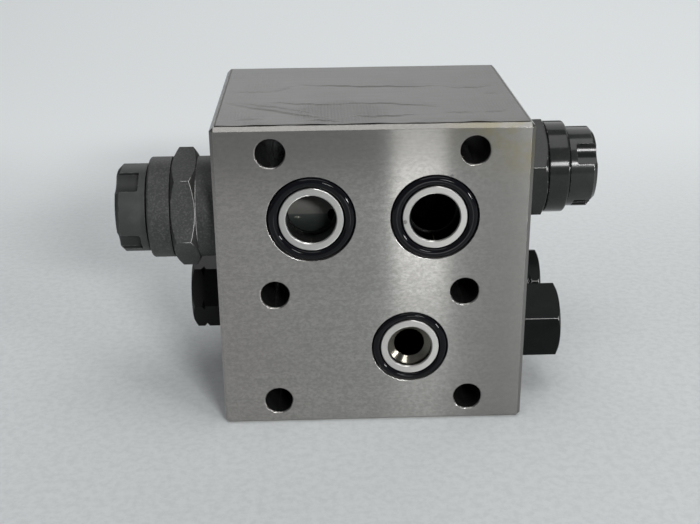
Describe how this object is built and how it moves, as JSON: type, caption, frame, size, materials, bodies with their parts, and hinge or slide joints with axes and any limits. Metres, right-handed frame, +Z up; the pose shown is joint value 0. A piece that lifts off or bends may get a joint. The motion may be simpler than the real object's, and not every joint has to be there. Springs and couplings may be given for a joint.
{
  "type": "hydraulic manifold block",
  "caption": "Steel valve block with face-sealed ports and mounting holes in front, and screwed-in relief cartridges with caps, check valves and a plug in its sides.",
  "frame": {"origin": "centre of the block's base", "axes": "+X to the right and +Y away from the port face, so the ports face -Y; +Z up from the base"},
  "size_m": [0.198, 0.1006, 0.1241],
  "materials": {
    "ground_steel": "ground faces with fine straight marks, drilled bores",
    "black_oxide": "black-oxide steel, satin, with corners worn bright",
    "hardened_steel": "hardened and ground steel, oiled",
    "spring_steel": "coiled spring steel",
    "seal_rubber": "black nitrile rubber, wet with oil",
    "backup_plastic": "white PTFE",
    "cap_plastic": "dark moulded plastic",
    "film": "grey protective film with soft wrinkles"
  },
  "bodies": {
    "manifold": {"gallery_plug": "black_oxide", "gallery_plug_seal": "seal_rubber", "left_check_plug": "black_oxide", "left_check_plug_seal": "seal_rubber", "left_check_spring": "spring_steel", "left_relief_adjusting_screw": "black_oxide", "left_relief_backup_ring": "backup_plastic", "left_relief_body": "black_oxide", "left_relief_body_seal": "seal_rubber", "left_relief_cap": "cap_plastic", "left_relief_carrier_seal": "seal_rubber", "left_relief_lock_nut": "black_oxide", "left_relief_nose_seal": "seal_rubber", "left_relief_seat": "hardened_steel", "left_relief_spring": "spring_steel", "left_relief_spring_carrier": "hardened_steel", "left_riser_plug": "black_oxide", "manifold_block": "ground_steel", "port_a_o_ring": "seal_rubber", "port_b_o_ring": "seal_rubber", "protective_film": "film", "right_check_plug": "black_oxide", "right_check_plug_seal": "seal_rubber", "right_check_spring": "spring_steel", "right_relief_adjusting_screw": "black_oxide", "right_relief_backup_ring": "backup_plastic", "right_relief_body": "black_oxide", "right_relief_body_seal": "seal_rubber", "right_relief_cap": "cap_plastic", "right_relief_carrier_seal": "seal_rubber", "right_relief_lock_nut": "black_oxide", "right_relief_nose_seal": "seal_rubber", "right_relief_seat": "hardened_steel", "right_relief_spring": "spring_steel", "right_relief_spring_carrier": "hardened_steel", "right_riser_plug": "black_oxide", "supply_port_o_ring": "seal_rubber"},
    "left_relief_poppet": {"left_relief_poppet": "hardened_steel"},
    "left_check_poppet": {"left_check_poppet": "hardened_steel"},
    "right_relief_poppet": {"right_relief_poppet": "hardened_steel"},
    "right_check_poppet": {"right_check_poppet": "hardened_steel"}
  },
  "joints": [
    {"name": "left_relief_lift", "type": "slide", "parent": "manifold", "child": "left_relief_poppet", "axis": [-1, 0, 0], "range_m": [0, 0.003], "stiffness_N_per_m": 3000, "springref_m": -0.003, "deforming": ["left_relief_spring"]},
    {"name": "left_check_lift", "type": "slide", "parent": "manifold", "child": "left_check_poppet", "axis": [-1, 0, 0], "range_m": [0, 0.003], "stiffness_N_per_m": 600, "springref_m": -0.003, "deforming": ["left_check_spring"]},
    {"name": "right_relief_lift", "type": "slide", "parent": "manifold", "child": "right_relief_poppet", "axis": [1, 0, 0], "range_m": [0, 0.003], "stiffness_N_per_m": 3000, "springref_m": -0.003, "deforming": ["right_relief_spring"]},
    {"name": "right_check_lift", "type": "slide", "parent": "manifold", "child": "right_check_poppet", "axis": [1, 0, 0], "range_m": [0, 0.003], "stiffness_N_per_m": 600, "springref_m": -0.003, "deforming": ["right_check_spring"]}
  ]
}
